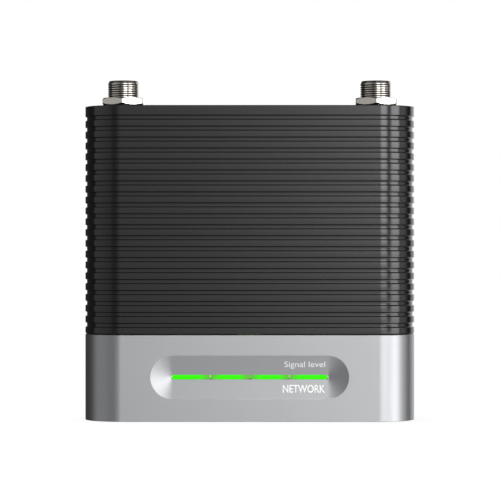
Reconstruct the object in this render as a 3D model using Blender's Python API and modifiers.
"""A cellular signal booster: ribbed housing, nose cap with a light strip, two antenna sockets.

It stands on the nose cap's flat bottom. The origin is the middle of that face, +X is to the
right, the front faces -Y, and +Z is up. Sizes below are in millimetres; MM turns them to metres.
"""

import math

import bmesh
import bpy
from mathutils import Matrix, Vector

MM = 0.001
GAP = 0.3  # left between pieces that touch
NAME = "cellular_signal_booster"

# The body: a stadium in plan, with flat front and rear and half-round sides
END_RADIUS = 19.0
HALF_FLAT = 65.0
HEIGHT = 159.5
WALL = 3.4
SIDES = 20  # facets round a full turn of the outline
INNER_RADIUS = END_RADIUS - WALL
EDGE = 0.5  # small chamfer on outer edges

# The nose cap and the joint above it
CAP_TOP = 43.8
CAP_FLOOR = 3.0
HOUSING_BOTTOM = CAP_TOP + GAP
TOP_WALL = 4.0
CEILING = HEIGHT - TOP_WALL
GASKET_STEP = 1.4
GASKET_SEAT_RADIUS = 17.4
ROOT = 0.9  # how far a post or a boss runs into the wall it grows from

# The grooves that run round the housing
GROOVES = 20
GROOVE_PITCH = 5.52
GROOVE_WIDTH = 2.05
GROOVE_DEPTH = 0.8
TOP_BAND = 5.1

# The capsule recess and the light slot at its bottom
RECESS_Z = 22.4
RECESS_RADIUS = 11.0
RECESS_FLAT = 39.0
RECESS_DEPTH = 2.0
SLOT_RADIUS = 1.2
SLOT_FLAT = 38.5
FRONT_WALL_INNER = -INNER_RADIUS  # y of the front wall's rear face
RECESS_FLOOR = -END_RADIUS + RECESS_DEPTH

# The light guides behind the slot, and what holds them
GUIDES = 4
STRIP_LENGTH = 78.0
GUIDE_PITCH = 19.95
GUIDE_SPLIT = 0.8  # space between one guide and the next
GUIDE_HEIGHT = 2.0
GUIDE_FRONT = RECESS_FLOOR + 0.1
GUIDE_REAR = -9.8
FRAME_FRONT = -15.2
FRAME_REAR = -8.0
FRAME_HALF = 43.5
EAR_HALF = 50.0
EAR_FRONT = -10.0
INDICATOR_SCREW_X = 46.7
BOSS_RADIUS = 2.6
FIN_HALF_HEIGHT = 0.9
INDICATOR_BOARD = (-7.7, -6.1)  # front and rear faces

# The rear cover, its window and its posts
COVER_HALF = 63.6
COVER_BOTTOM = 49.3
COVER_TOP = 140.7
COVER_THICKNESS = 3.0
COVER_FRONT = END_RADIUS - COVER_THICKNESS
POST_X = 58.0
POST_HEIGHTS = (55.0, 95.0, 134.0)
POST_RADIUS = 3.5
RAIL = (12.0, HOUSING_BOTTOM + 0.4, COVER_BOTTOM - GAP - 0.2)  # front, bottom and top
TONGUE = (6.0, 12.3, 15.1, 33.0, 46.5)  # half width, front, rear, bottom and top
KEYHOLE_X = 42.0
KEYHOLE_Z = 106.0
KEYHOLE_RADIUS = 4.6
KEYHOLE_SLOT = 2.3
KEYHOLE_RISE = 9.0
LABEL_HALF = 30.0
LABEL_LOW = 62.0
LABEL_HIGH = 86.0
LABEL_POCKET = 0.7

# The circuit board and its standoffs
BOARD = (-8.0, -6.4)  # front and rear faces
BOARD_HALF = 52.0
BOARD_LOW = 52.0
BOARD_HIGH = 150.0
STANDOFF_X = 47.0
STANDOFF_HEIGHTS = (58.0, 134.0)
STANDOFF_RADIUS = 3.0
CAN_FRONT = -12.8
CAN_SHEET = 0.4
CANS = {  # left, right, bottom and top
    "uplink": (-41.0, -3.0, 92.0, 128.0),
    "downlink": (3.0, 41.0, 92.0, 128.0),
    "control": (-22.0, 22.0, 62.0, 84.0),
}
PAD_INSET = 2.0

# Screws: shaft radius, head radius, head height, length under the head
M3 = (1.25, 2.8, 1.6, 8.0)
M25 = (1.0, 2.3, 1.6, 7.0)
COUNTERBORE = (3.15, 2.0)  # radius and depth
SCREW_CLEARANCE = 0.45
CAP_SCREW_X = 50.0
CAP_SCREW_Z = 38.0

# The N-type antenna sockets: 5/8 in thread, 13/16 in nut
SOCKET_X = 64.5
THREAD_RADIUS = 7.94
SOCKET_TOP = 172.7
SOCKET_BORE = 4.05
FLANGE_RADIUS = 9.0
TAIL_RADIUS = 3.5
TAIL_END = 143.5
WASHER = (8.3, 9.8, HEIGHT + 0.2, HEIGHT + 0.6)  # bore, rim, bottom, top
NUT_BOTTOM = WASHER[3] + 0.2
NUT_TOP = HEIGHT + 4.6
NUT_BORE = 8.3
NUT_FLATS = 20.64
NUT_CHAMFER = 0.9
NUT_TURN = math.radians(-1.3)

# The DC inlet, a 5.5 x 2.1 mm jack in the top face
JACK_Y = -0.6
JACK_HALF = 5.5
JACK_NECK = 4.4
JACK_BORE = 2.85
JACK_PIN = 1.05
JACK_BOTTOM = 142.0
JACK_TOP = HEIGHT - 0.1
JACK_FLOOR = 149.5

# Colours as sRGB hex, then roughness and metallic
FINISHES = {
    "black_housing": ("2B2B2C", 0.38, 0.6),
    "silver_cap": ("B4B5B8", 0.32, 0.9),
    "nickel_plate": ("C9C5BD", 0.2, 1.0),
    "light_guide": ("39FF00", 0.35, 0.0),
    "black_plastic": ("151515", 0.5, 0.0),
    "white_plastic": ("E2EAE0", 0.5, 0.0),
    "circuit_board": ("0F5A2C", 0.5, 0.0),
    "tinned_steel": ("BFC2C4", 0.35, 0.9),
    "thermal_pad": ("6F7F93", 0.9, 0.0),
    "ceramic_filter": ("D6D0C4", 0.4, 0.0),
    "capacitor_can": ("A9ABAD", 0.3, 0.8),
    "led_lens": ("EFEFE2", 0.3, 0.0),
    "zinc_screw": ("A8AAAD", 0.3, 1.0),
    "black_screw": ("1E1E1F", 0.4, 0.8),
    "silicone": ("3A3A3A", 0.8, 0.0),
    "ptfe": ("F1F0EC", 0.45, 0.0),
    "gold_contact": ("D9A93F", 0.25, 1.0),
    "coax_sheath": ("7A4A22", 0.45, 0.0),
    "ribbon": ("C9CBCD", 0.5, 0.0),
    "label_film": ("C4C6C8", 0.5, 0.0),
}


# ---------------------------------------------------------------- scene and materials


def clear_scene():
    for obj in list(bpy.data.objects):
        bpy.data.objects.remove(obj, do_unlink=True)


def new_collection(name):
    collection = bpy.data.collections.new(name)
    bpy.context.scene.collection.children.link(collection)
    return collection


def linear(channel):
    return channel / 12.92 if channel <= 0.04045 else ((channel + 0.055) / 1.055) ** 2.4


def make_material(name, hex_colour, roughness, metallic):
    material = bpy.data.materials.new(name)
    material.use_nodes = True
    shader = material.node_tree.nodes["Principled BSDF"]
    rgb = [linear(int(hex_colour[i : i + 2], 16) / 255) for i in (0, 2, 4)]
    shader.inputs["Base Color"].default_value = (*rgb, 1.0)
    shader.inputs["Roughness"].default_value = roughness
    shader.inputs["Metallic"].default_value = metallic
    return material


clear_scene()
PARTS = new_collection(NAME)
CUTTERS = new_collection(NAME + "_cutters")
CUTTERS.hide_render = True
MATERIALS = {name: make_material(name, *look) for name, look in FINISHES.items()}


# ---------------------------------------------------------------- shapes


def add_object(name, mesh, finish=None):
    """A part when a finish is given, and otherwise a cutter."""
    obj = bpy.data.objects.new(name, mesh)
    if finish is None:
        CUTTERS.objects.link(obj)
        obj.hide_render = True
        obj.display_type = "WIRE"
    else:
        PARTS.objects.link(obj)
        mesh.materials.clear()
        mesh.materials.append(MATERIALS[finish])
    return obj


def mesh_of(bm, name, smooth=False):
    bmesh.ops.recalc_face_normals(bm, faces=bm.faces)
    bmesh.ops.scale(bm, vec=(MM, MM, MM), verts=bm.verts)
    mesh = bpy.data.meshes.new(name)
    bm.to_mesh(mesh)
    bm.free()
    if smooth:
        mesh.shade_smooth()
        mesh.set_sharp_from_angle(angle=math.radians(32))
    return mesh


def box(name, low, high, finish=None, bevel=0.0):
    bm = bmesh.new()
    size = Vector(high) - Vector(low)
    middle = (Vector(high) + Vector(low)) / 2
    bmesh.ops.create_cube(bm, size=1.0)
    bmesh.ops.scale(bm, vec=size, verts=bm.verts)
    if bevel:
        bmesh.ops.bevel(
            bm, geom=bm.edges[:], offset=bevel, segments=1, affect="EDGES", clamp_overlap=True
        )
    bmesh.ops.translate(bm, vec=middle, verts=bm.verts)
    return add_object(name, mesh_of(bm, name), finish)


def turn_to(axis):
    """The rotation that points +Z along the axis."""
    return Vector((0, 0, 1)).rotation_difference(Vector(axis)).to_matrix().to_4x4()


def cylinder(name, start, axis, radius, length, finish=None, sides=16):
    """A round bar from the start point along the axis, its facets on the radius."""
    bm = bmesh.new()
    corner = radius / math.cos(math.pi / sides)
    bmesh.ops.create_cone(
        bm, cap_ends=True, segments=sides, radius1=corner, radius2=corner, depth=length
    )
    bmesh.ops.translate(bm, vec=(0, 0, length / 2), verts=bm.verts)
    bmesh.ops.transform(bm, matrix=Matrix.Translation(start) @ turn_to(axis), verts=bm.verts)
    return add_object(name, mesh_of(bm, name, smooth=True), finish)


def turned_mesh(name, outline, sides, closed):
    """Turns an outline of (radius, height) points about Z with a Screw modifier, in mm.

    The facets lie on the radius, and no corner falls on the plane x = 0.
    """
    step = math.pi / sides
    grow = 1 / math.cos(step)
    points = [(r * grow * math.cos(step), r * grow * math.sin(step), z) for r, z in outline]
    edges = [(i, i + 1) for i in range(len(points) - 1)]
    if closed:
        edges.append((len(points) - 1, 0))
    profile = bpy.data.meshes.new(name + "_outline")
    profile.from_pydata(points, edges, [])
    lathe = bpy.data.objects.new(name + "_outline", profile)
    PARTS.objects.link(lathe)
    screw = lathe.modifiers.new("turn", "SCREW")
    screw.steps = sides
    screw.render_steps = sides
    screw.use_merge_vertices = True
    screw.merge_threshold = 0.0001
    graph = bpy.context.evaluated_depsgraph_get()
    mesh = bpy.data.meshes.new_from_object(lathe.evaluated_get(graph))
    bpy.data.objects.remove(lathe, do_unlink=True)
    bpy.data.meshes.remove(profile)
    return mesh


def stadium(name, outline, finish=None, half_flat=HALF_FLAT, closed=False):
    """A turned outline whose two halves are pulled apart along X, then closed with flat ends."""
    mesh = turned_mesh(name, outline, SIDES, closed)
    bm = bmesh.new()
    bm.from_mesh(mesh)
    bpy.data.meshes.remove(mesh)
    for vert in bm.verts:
        vert.co.x += math.copysign(half_flat, vert.co.x)
    rims = [edge for edge in bm.edges if edge.is_boundary]
    bmesh.ops.holes_fill(bm, edges=rims, sides=0)
    return add_object(name, mesh_of(bm, name, smooth=True), finish)


def turned(name, outline, place, finish=None, axis=(0, 0, 1), sides=SIDES, closed=False):
    """A turned piece at a place, its heights measured from there along the axis."""
    mesh = turned_mesh(name, outline, sides, closed)
    bm = bmesh.new()
    bm.from_mesh(mesh)
    bpy.data.meshes.remove(mesh)
    rims = [edge for edge in bm.edges if edge.is_boundary]
    bmesh.ops.holes_fill(bm, edges=rims, sides=0)
    obj = add_object(name, mesh_of(bm, name, smooth=True), finish)
    obj.matrix_world = Matrix.Translation(Vector(place) * MM) @ turn_to(axis)
    return obj


def combine(obj, operation, *others):
    for other in others:
        step = obj.modifiers.new(operation.lower() + "_" + other.name, "BOOLEAN")
        step.object = other
        step.operation = operation
        step.solver = "EXACT"


def cut(obj, *cutters):
    combine(obj, "DIFFERENCE", *cutters)


def join(obj, *additions):
    combine(obj, "UNION", *additions)


def capsule(name, half_flat, front, rear, front_radius, rear_radius, finish=None, sides=32):
    """A cone or bar along Y, pulled apart along X: a capsule-shaped block."""
    bm = bmesh.new()
    grow = 1 / math.cos(math.pi / sides)
    bmesh.ops.create_cone(
        bm,
        cap_ends=True,
        segments=sides,
        radius1=front_radius * grow,
        radius2=rear_radius * grow,
        depth=rear - front,
        matrix=Matrix.Rotation(math.pi / sides, 4, "Z"),
    )
    bmesh.ops.rotate(bm, cent=(0, 0, 0), matrix=Matrix.Rotation(-math.pi / 2, 3, "X"), verts=bm.verts)
    for vert in bm.verts:
        vert.co.x += math.copysign(half_flat, vert.co.x)
        vert.co.y += (front + rear) / 2
        vert.co.z += RECESS_Z
    return add_object(name, mesh_of(bm, name), finish)


def shell_box(name, low, high, open_side, sheet, finish):
    """A five-sided sheet box: a cube without the face towards open_side, thickened inwards."""
    bm = bmesh.new()
    bmesh.ops.create_cube(bm, size=1.0)
    bmesh.ops.scale(bm, vec=Vector(high) - Vector(low), verts=bm.verts)
    bmesh.ops.translate(bm, vec=(Vector(high) + Vector(low)) / 2, verts=bm.verts)
    bmesh.ops.recalc_face_normals(bm, faces=bm.faces)
    lid = [face for face in bm.faces if face.normal.dot(Vector(open_side)) > 0.9]
    bmesh.ops.delete(bm, geom=lid, context="FACES")
    bmesh.ops.scale(bm, vec=(MM, MM, MM), verts=bm.verts)
    mesh = bpy.data.meshes.new(name)
    bm.to_mesh(mesh)
    bm.free()
    obj = add_object(name, mesh, finish)
    sheet_metal = obj.modifiers.new("sheet", "SOLIDIFY")
    sheet_metal.thickness = sheet * MM
    sheet_metal.offset = -1.0
    sheet_metal.use_even_offset = True
    return obj


def screw_mesh(name, size, finish):
    """A socket-head screw along Z: head above zero, shaft below it."""
    shaft, head, rise, length = size
    outline = [
        (head - 0.3, rise),
        (head, rise - 0.3),
        (head, 0.0),
        (shaft, 0.0),
        (shaft, -length),
    ]
    screw = turned(name + "_blank", outline, (0, 0, 0), finish, sides=12)
    drive = cylinder(name + "_drive", (0, 0, rise - 1.0), (0, 0, 1), head * 0.45, 2.0, sides=6)
    cut(screw, drive)
    graph = bpy.context.evaluated_depsgraph_get()
    mesh = bpy.data.meshes.new_from_object(screw.evaluated_get(graph))
    mesh.name = name
    for used in (screw, drive):
        bpy.data.objects.remove(used, do_unlink=True)
    return mesh


def place_screw(name, mesh, seat, axis, finish):
    """Sets a screw with the underside of its head at seat, and its head towards the axis."""
    obj = add_object(name, mesh, finish)
    obj.matrix_world = Matrix.Translation(Vector(seat) * MM) @ turn_to(axis)
    return obj


# ---------------------------------------------------------------- places that several parts share


def sides_of(distance):
    """The left and right places at one distance from the middle."""
    return (("left", -distance), ("right", distance))


def post_places():
    return [(x, z) for z in POST_HEIGHTS for x in (-POST_X, POST_X)]


def standoff_places():
    return [(x, z) for z in STANDOFF_HEIGHTS for x in (-STANDOFF_X, STANDOFF_X)]


def guide_span(index):
    """The left and right ends of a light guide."""
    middle = (index - (GUIDES - 1) / 2) * GUIDE_PITCH
    half = (GUIDE_PITCH - GUIDE_SPLIT) / 2
    left = -STRIP_LENGTH / 2 if index == 0 else middle - half
    right = STRIP_LENGTH / 2 if index == GUIDES - 1 else middle + half
    return left, right


# ---------------------------------------------------------------- housing and cap


def make_ribbed_housing():
    """A sleeve closed at the top, with grooves round it and a window in its rear."""
    floor = END_RADIUS - GROOVE_DEPTH
    outline = [(END_RADIUS - EDGE, HEIGHT), (END_RADIUS, HEIGHT - EDGE)]
    for groove in range(GROOVES):
        top = HEIGHT - TOP_BAND - groove * GROOVE_PITCH
        bottom = top - GROOVE_WIDTH
        outline += [(END_RADIUS, top), (floor, top), (floor, bottom), (END_RADIUS, bottom)]
    outline += [
        (END_RADIUS, HOUSING_BOTTOM + EDGE),
        (END_RADIUS - EDGE, HOUSING_BOTTOM),
        (INNER_RADIUS, HOUSING_BOTTOM),
        (INNER_RADIUS, CEILING),
    ]
    housing = stadium("ribbed_housing", outline, "black_housing")
    window = box(
        "window_cutter",
        (-COVER_HALF - GAP, INNER_RADIUS - 2, COVER_BOTTOM - GAP),
        (COVER_HALF + GAP, END_RADIUS + 2, COVER_TOP + GAP),
    )
    cut(housing, window)

    front = FRONT_WALL_INNER - ROOT
    for number, (x, z) in enumerate(post_places(), 1):
        rear = COVER_FRONT - GAP
        post = cylinder(f"post_{number}", (x, front, z), (0, 1, 0), POST_RADIUS, rear - front)
        pilot = cylinder(f"post_pilot_{number}", (x, rear - 7, z), (0, 1, 0), M3[0] + GAP, 9)
        join(housing, post)
        cut(housing, pilot)
    for number, (x, z) in enumerate(standoff_places(), 1):
        rear = BOARD[0] - GAP
        start = (x, front, z)
        standoff = cylinder(f"standoff_{number}", start, (0, 1, 0), STANDOFF_RADIUS, rear - front)
        pilot = cylinder(f"standoff_pilot_{number}", (x, rear - 6, z), (0, 1, 0), M25[0] + GAP, 8)
        join(housing, standoff)
        cut(housing, pilot)

    front, low, high = RAIL
    half, rear = CAP_SCREW_X + 7, INNER_RADIUS + ROOT
    join(housing, box("rail", (-half, front, low), (half, rear, high)))
    half, front, rear, low, high = TONGUE
    for side, x in sides_of(CAP_SCREW_X):
        tongue = box(f"tongue_{side}", (x - half, front, low), (x + half, rear, high))
        start = (x, front - 2, CAP_SCREW_Z)
        pilot = cylinder(f"tongue_pilot_{side}", start, (0, 1, 0), M3[0] + GAP, 8)
        join(housing, tongue)
        cut(housing, pilot)

    for side, x in sides_of(SOCKET_X):
        hole = cylinder(
            f"socket_hole_{side}", (x, 0, CEILING - 2), (0, 0, 1), THREAD_RADIUS + GAP, 8, sides=20
        )
        cut(housing, hole)
    inlet = cylinder("inlet_hole", (0, JACK_Y, CEILING - 2), (0, 0, 1), JACK_NECK + GAP, 8)
    cut(housing, inlet)


def make_nose_cap():
    """A cup with a capsule recess in front, a slot for the lights and a seat for the gasket."""
    outline = [
        (INNER_RADIUS, CAP_FLOOR),
        (INNER_RADIUS, CAP_TOP - GASKET_STEP),
        (GASKET_SEAT_RADIUS, CAP_TOP - GASKET_STEP),
        (GASKET_SEAT_RADIUS, CAP_TOP),
        (END_RADIUS - EDGE, CAP_TOP),
        (END_RADIUS, CAP_TOP - EDGE),
        (END_RADIUS, EDGE),
        (END_RADIUS - EDGE, 0.0),
    ]
    cap = stadium("nose_cap", outline, "silver_cap")
    lead = 1.0  # the recess cutter starts this far in front of the face
    spread = (RECESS_RADIUS - SLOT_RADIUS) / RECESS_DEPTH
    recess = capsule(
        "recess_cutter",
        RECESS_FLAT,
        -END_RADIUS - lead,
        RECESS_FLOOR,
        RECESS_RADIUS + spread * lead,
        SLOT_RADIUS,
    )
    slot = capsule(
        "slot_cutter", SLOT_FLAT, RECESS_FLOOR - 1, FRONT_WALL_INNER + 1, SLOT_RADIUS, SLOT_RADIUS
    )
    for side, x in sides_of(INDICATOR_SCREW_X):
        start = (x, FRONT_WALL_INNER - ROOT, RECESS_Z)
        boss = cylinder(f"boss_{side}", start, (0, 1, 0), BOSS_RADIUS, EAR_FRONT - GAP - start[1])
        start = (x, FRONT_WALL_INNER + 0.4, RECESS_Z)
        pilot = cylinder(f"boss_pilot_{side}", start, (0, 1, 0), M25[0] + GAP, 8)
        join(cap, boss)
        cut(cap, pilot)
    cut(cap, recess, slot)
    radius, depth = COUNTERBORE
    for side, x in sides_of(CAP_SCREW_X):
        start = (x, END_RADIUS - depth, CAP_SCREW_Z)
        cut(cap, cylinder(f"cap_counterbore_{side}", start, (0, 1, 0), radius, 5))
        start = (x, INNER_RADIUS - 1, CAP_SCREW_Z)
        hole_radius = M3[0] + SCREW_CLEARANCE
        cut(cap, cylinder(f"cap_screw_hole_{side}", start, (0, 1, 0), hole_radius, 6))


def make_cap_gasket():
    low = CAP_TOP - GASKET_STEP + GAP
    inner, outer = INNER_RADIUS + GAP, GASKET_SEAT_RADIUS - GAP
    outline = [(inner, low), (outer, low), (outer, CAP_TOP), (inner, CAP_TOP)]
    stadium("cap_gasket", outline, "silicone", closed=True)


# ---------------------------------------------------------------- rear cover


def make_rear_cover():
    """A flush plate with counterbored screw holes, two keyholes and a label pocket."""
    cover = box(
        "rear_cover",
        (-COVER_HALF, COVER_FRONT, COVER_BOTTOM),
        (COVER_HALF, END_RADIUS, COVER_TOP),
        "black_housing",
    )
    radius, depth = COUNTERBORE
    for number, (x, z) in enumerate(post_places(), 1):
        bore = cylinder(f"cover_bore_{number}", (x, END_RADIUS - depth, z), (0, 1, 0), radius, 5)
        start = (x, COVER_FRONT - 1, z)
        hole = cylinder(f"cover_hole_{number}", start, (0, 1, 0), M3[0] + SCREW_CLEARANCE, 6)
        cut(cover, bore, hole)
    for side, x in sides_of(KEYHOLE_X):
        front, top = COVER_FRONT - 1, KEYHOLE_Z + KEYHOLE_RISE
        start = (x, front, KEYHOLE_Z)
        entry = cylinder(f"keyhole_entry_{side}", start, (0, 1, 0), KEYHOLE_RADIUS, 6)
        start = (x, front - 0.5, top)
        end = cylinder(f"keyhole_end_{side}", start, (0, 1, 0), KEYHOLE_SLOT, 7)
        run = box(
            f"keyhole_run_{side}",
            (x - KEYHOLE_SLOT, front - 0.2, KEYHOLE_Z),
            (x + KEYHOLE_SLOT, END_RADIUS + 1.2, top),
        )
        cut(cover, entry, run, end)
    pocket = box(
        "label_pocket",
        (-LABEL_HALF, END_RADIUS - LABEL_POCKET, LABEL_LOW),
        (LABEL_HALF, END_RADIUS + 1, LABEL_HIGH),
    )
    cut(cover, pocket)

    mesh = screw_mesh("cover_screw", M3, "black_screw")
    for number, (x, z) in enumerate(post_places(), 1):
        seat = (x, END_RADIUS - depth + GAP, z)
        place_screw(f"rear_cover_screw_{number}", mesh, seat, (0, 1, 0), "black_screw")
    for side, x in sides_of(CAP_SCREW_X):
        seat = (x, END_RADIUS - depth + GAP, CAP_SCREW_Z)
        place_screw(f"cap_screw_{side}", mesh, seat, (0, 1, 0), "black_screw")

    floor = END_RADIUS - LABEL_POCKET
    box(
        "rating_label",
        (-LABEL_HALF + 0.4, floor + GAP, LABEL_LOW + 0.4),
        (LABEL_HALF - 0.4, floor + GAP + 0.25, LABEL_HIGH - 0.4),
        "label_film",
    )


# ---------------------------------------------------------------- light strip


def make_light_guides():
    """Clear bars that fill the slot, each with a flange that stops behind the cap's wall."""
    half = GUIDE_HEIGHT / 2
    for index in range(GUIDES):
        left, right = guide_span(index)
        name = f"light_guide_{index + 1}"
        round_end = STRIP_LENGTH / 2 - half
        guide = capsule(name, round_end, GUIDE_FRONT, GUIDE_REAR, half, half, "light_guide")
        length = box(
            name + "_length",
            (left - 2 * (index == 0), GUIDE_FRONT - 1, RECESS_Z - 4),
            (right + 2 * (index == GUIDES - 1), GUIDE_REAR + 1, RECESS_Z + 4),
        )
        combine(guide, "INTERSECT", length)
        flange = box(
            name + "_flange",
            (left + 0.5, FRAME_FRONT, RECESS_Z - half - 1),
            (right - 0.5, FRAME_FRONT + 1.8, RECESS_Z + half + 1),
        )
        join(guide, flange)


def make_light_frame():
    """A bar behind the slot with a pocket for each guide, thin walls between, and two ears."""
    frame = box(
        "light_frame",
        (-FRAME_HALF, FRAME_FRONT, RECESS_Z - 5),
        (FRAME_HALF, FRAME_REAR, RECESS_Z + 5),
        "white_plastic",
    )
    for index in range(GUIDES):
        left, right = guide_span(index)
        clear = GUIDE_SPLIT / 4
        pocket = box(
            f"guide_pocket_{index + 1}",
            (left - clear, FRAME_FRONT - 1, RECESS_Z - 2.3),
            (right + clear, FRAME_REAR + 1, RECESS_Z + 2.3),
        )
        cut(frame, pocket)
    for index in range(1, GUIDES):
        x = (index - GUIDES / 2) * GUIDE_PITCH
        half = GUIDE_SPLIT / 4
        fin = box(
            f"baffle_{index}",
            (x - half, GUIDE_FRONT + 0.1, RECESS_Z - FIN_HALF_HEIGHT),
            (x + half, FRAME_FRONT + 0.5, RECESS_Z + FIN_HALF_HEIGHT),
        )
        join(frame, fin)
    for side, x in sides_of(1.0):
        ear = box(
            f"ear_{side}",
            (min(x * (FRAME_HALF - 0.5), x * EAR_HALF), EAR_FRONT, RECESS_Z - 4),
            (max(x * (FRAME_HALF - 0.5), x * EAR_HALF), FRAME_REAR - 0.1, RECESS_Z + 4),
        )
        start = (x * INDICATOR_SCREW_X, EAR_FRONT - 1, RECESS_Z)
        hole = cylinder(f"ear_hole_{side}", start, (0, 1, 0), M25[0] + GAP, 5)
        join(frame, ear)
        cut(frame, hole)


def make_indicator_board():
    front, rear = INDICATOR_BOARD
    board = box(
        "indicator_board",
        (-EAR_HALF, front, RECESS_Z - 7),
        (EAR_HALF, rear, RECESS_Z + 7),
        "circuit_board",
    )
    mesh = screw_mesh("indicator_screw", M25, "zinc_screw")
    for side, x in sides_of(INDICATOR_SCREW_X):
        start = (x, front - 1, RECESS_Z)
        cut(board, cylinder(f"indicator_hole_{side}", start, (0, 1, 0), M25[0] + GAP, 4))
        seat = (x, rear + GAP, RECESS_Z)
        place_screw(f"indicator_screw_{side}", mesh, seat, (0, 1, 0), "zinc_screw")
    for index in range(GUIDES):
        x = sum(guide_span(index)) / 2
        box(
            f"indicator_led_{index + 1}",
            (x - 1.6, front - GAP - 1.1, RECESS_Z - 1.1),
            (x + 1.6, front - GAP, RECESS_Z + 1.1),
            "led_lens",
        )


def make_ribbon():
    """A flat cable that bows gently between a socket on each board."""
    half_width = 6.0
    y = -4.3
    low, high = RECESS_Z + 5.6, BOARD_LOW + 1.7
    box("ribbon_socket_indicator", (-8, INDICATOR_BOARD[1] + GAP, RECESS_Z), (8, -2.8, low), "ptfe")
    box("ribbon_socket_main", (-8, BOARD[1] + GAP, high), (8, -2.8, high + 5), "ptfe")
    steps = 10
    bm = bmesh.new()
    rows = []
    for step in range(steps + 1):
        share = step / steps
        z = low + GAP + share * (high - low - 2 * GAP)
        bow = 3.0 * math.sin(math.pi * share) ** 2
        rows.append([bm.verts.new((x, y + bow, z)) for x in (-half_width, half_width)])
    for lower, upper in zip(rows, rows[1:]):
        bm.faces.new((lower[0], lower[1], upper[1], upper[0]))
    ribbon = add_object("ribbon_cable", mesh_of(bm, "ribbon_cable"), "ribbon")
    film = ribbon.modifiers.new("film", "SOLIDIFY")
    film.thickness = 0.4 * MM
    film.offset = 0.0


# ---------------------------------------------------------------- main board


def make_main_board():
    front, rear = BOARD
    board = box(
        "main_board",
        (-BOARD_HALF, front, BOARD_LOW),
        (BOARD_HALF, rear, BOARD_HIGH),
        "circuit_board",
    )
    mesh = screw_mesh("board_screw", M25, "zinc_screw")
    for number, (x, z) in enumerate(standoff_places(), 1):
        hole = cylinder(f"board_hole_{number}", (x, front - 1, z), (0, 1, 0), M25[0] + GAP, 4)
        cut(board, hole)
        place_screw(f"main_board_screw_{number}", mesh, (x, rear + GAP, z), (0, 1, 0), "zinc_screw")


def make_shields():
    """Stamped cans on the front of the board; the two amplifier cans carry thermal pads."""
    for name, (left, right, low, high) in CANS.items():
        shell_box(
            name + "_shield_can",
            (left, CAN_FRONT, low),
            (right, BOARD[0] - GAP, high),
            (0, 1, 0),
            CAN_SHEET,
            "tinned_steel",
        )
    for name in ("uplink", "downlink"):
        left, right, low, high = CANS[name]
        box(
            name + "_thermal_pad",
            (left + PAD_INSET, FRONT_WALL_INNER + GAP, low + PAD_INSET),
            (right - PAD_INSET, CAN_FRONT - GAP, high - PAD_INSET),
            "thermal_pad",
        )


def make_board_parts():
    """Filters and supply parts on the rear of the board."""
    seat = BOARD[1] + GAP
    for side, x in sides_of(24.0):
        box(f"duplexer_{side}", (x - 12, seat, 86), (x + 12, seat + 5, 98), "ceramic_filter", 0.4)
    cylinder("power_inductor", (-16, seat, 136), (0, 1, 0), 5.0, 5.0, "black_plastic")
    for number, x in enumerate((16.0, 27.0), 1):
        name = f"input_capacitor_{number}"
        cylinder(name, (x, seat, 138), (0, 1, 0), 4.0, 10.5, "capacitor_can")


# ---------------------------------------------------------------- connectors


def smooth_route(points, per_span=4):
    """Points on a Catmull-Rom curve through the given points."""
    ends = [points[0] * 2 - points[1]] + points + [points[-1] * 2 - points[-2]]
    route = []
    for a, b, c, d in zip(ends, ends[1:], ends[2:], ends[3:]):
        for step in range(per_span):
            t = step / per_span
            route.append(
                (2 * b + (c - a) * t + (2 * a - 5 * b + 4 * c - d) * t**2
                 + (3 * b - a - 3 * c + d) * t**3) / 2
            )
    route.append(points[-1])
    return route


def tube(name, points, radius, finish):
    curve = bpy.data.curves.new(name, "CURVE")
    curve.dimensions = "3D"
    curve.bevel_depth = radius * MM
    curve.bevel_resolution = 2
    curve.use_fill_caps = True
    spline = curve.splines.new("POLY")
    spline.points.add(len(points) - 1)
    for target, point in zip(spline.points, points):
        target.co = (*(point * MM), 1.0)
    curve.materials.append(MATERIALS[finish])
    obj = bpy.data.objects.new(name, curve)
    PARTS.objects.link(obj)
    return obj


def make_antenna_socket(side, x):
    """An N-type bulkhead socket: body from inside, washer and nut on top."""
    name = f"{side}_antenna_connector"
    step = CEILING  # the bore narrows here
    body = [
        (SOCKET_BORE, step),
        (SOCKET_BORE, SOCKET_TOP - 0.4),
        (SOCKET_BORE + 0.4, SOCKET_TOP),
        (THREAD_RADIUS - 0.7, SOCKET_TOP),
        (THREAD_RADIUS, SOCKET_TOP - 1.2),
        (THREAD_RADIUS, CEILING - GAP),
        (FLANGE_RADIUS, CEILING - GAP),
        (FLANGE_RADIUS, CEILING - 3.8),
        (TAIL_RADIUS, CEILING - 3.8),
        (TAIL_RADIUS, TAIL_END),
        (2.4, TAIL_END),
        (2.4, step),
    ]
    turned(name + "_body", body, (x, 0, 0), "nickel_plate", closed=True)
    insulator = [
        (0.95, step + 7.0),
        (3.75, step + 7.0),
        (3.75, step + GAP),
        (2.1, step + GAP),
        (2.1, TAIL_END + 2.0),
        (0.95, TAIL_END + 2.0),
    ]
    turned(name + "_insulator", insulator, (x, 0, 0), "ptfe", sides=16, closed=True)
    contact = [
        (0.8, step + 8.5),
        (0.8, SOCKET_TOP - 4.9),
        (1.5, SOCKET_TOP - 4.9),
        (1.5, step + 7.0 + GAP),
        (0.65, step + 7.0 + GAP),
        (0.65, TAIL_END + 1.0),
    ]
    turned(name + "_contact", contact, (x, 0, 0), "gold_contact", sides=16)

    bore, rim, low, high = WASHER
    ring = [(bore, low), (rim, low), (rim, high), (bore, high)]
    turned(name + "_washer", ring, (x, 0, 0), "nickel_plate", closed=True)
    make_nut(name + "_nut", x)


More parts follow.
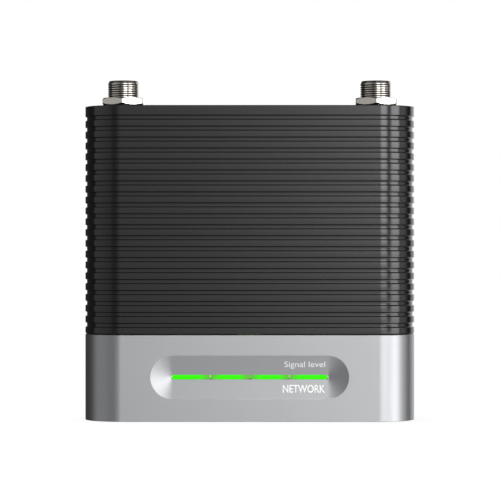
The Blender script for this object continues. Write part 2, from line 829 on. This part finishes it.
def make_nut(name, x):
    """A hexagon nut, chamfered above and below, with a corner to the front."""
    thickness = NUT_TOP - NUT_BOTTOM
    nut = cylinder(name, (0, 0, 0), (0, 0, 1), NUT_FLATS / 2, thickness, "nickel_plate", sides=6)
    nut.location = Vector((x, 0, NUT_BOTTOM)) * MM
    nut.rotation_euler.z = NUT_TURN
    corner = NUT_FLATS / 2 / math.cos(math.pi / 6)
    flats = NUT_FLATS / 2 - 0.2
    chamfers = [
        (flats, thickness),
        (corner + 0.1, thickness - NUT_CHAMFER),
        (corner + 0.1, NUT_CHAMFER),
        (flats, 0.0),
    ]
    place = (x, 0, NUT_BOTTOM)
    combine(nut, "INTERSECT", turned(name + "_chamfers", chamfers, place, sides=24))
    cut(nut, cylinder(name + "_bore", (x, 0, NUT_BOTTOM - 1), (0, 0, 1), NUT_BORE, 6, sides=20))


def make_jumper(side, x):
    """A short coaxial cable from the tail of an antenna socket to a socket on the board."""
    sign = math.copysign(1, x)
    seat = BOARD[1] + GAP
    z = 122.0
    low = (min(sign * 43.5, sign * 48.5), seat, z - 2.5)
    high = (max(sign * 43.5, sign * 48.5), seat + 4.4, z + 2.5)
    box(f"coax_socket_{side}", low, high, "gold_contact")
    route = [
        Vector((x, 0, TAIL_END - GAP)),
        Vector((x, 0, TAIL_END - 6)),
        Vector((sign * 63.8, -0.6, 130.5)),
        Vector((sign * 60.0, -2.6, 124.0)),
        Vector((sign * 54.0, -3.8, z)),
        Vector((sign * 48.8, -3.9, z)),
    ]
    tube(f"coax_jumper_{side}", smooth_route(route), 1.25, "coax_sheath")


def make_power_jack():
    """A board-mounted DC jack whose round neck fills the hole in the top wall."""
    body = box(
        "power_jack_body",
        (-JACK_HALF + 0.6, JACK_Y - JACK_HALF, JACK_BOTTOM),
        (JACK_HALF - 0.6, JACK_Y + JACK_HALF, CEILING - GAP),
        "black_plastic",
    )
    start = (0, JACK_Y, CEILING - 2)
    neck = cylinder("jack_neck", start, (0, 0, 1), JACK_NECK, JACK_TOP - CEILING + 2, sides=24)
    bore = cylinder("jack_bore", (0, JACK_Y, JACK_FLOOR), (0, 0, 1), JACK_BORE, 14, sides=24)
    join(body, neck)
    cut(body, bore)
    pin = [
        (JACK_PIN - 0.3, JACK_TOP - 1.0),
        (JACK_PIN, JACK_TOP - 1.4),
        (JACK_PIN, JACK_FLOOR + 1.1),
        (2.3, JACK_FLOOR + 1.1),
        (2.3, JACK_FLOOR + GAP),
    ]
    turned("power_jack_pin", pin, (0, JACK_Y, 0), "nickel_plate", sides=16)


make_ribbed_housing()
make_nose_cap()
make_cap_gasket()
make_rear_cover()
make_light_guides()
make_light_frame()
make_indicator_board()
make_ribbon()
make_main_board()
make_shields()
make_board_parts()
for side_name, side_x in sides_of(SOCKET_X):
    make_antenna_socket(side_name, side_x)
    make_jumper(side_name, side_x)
make_power_jack()
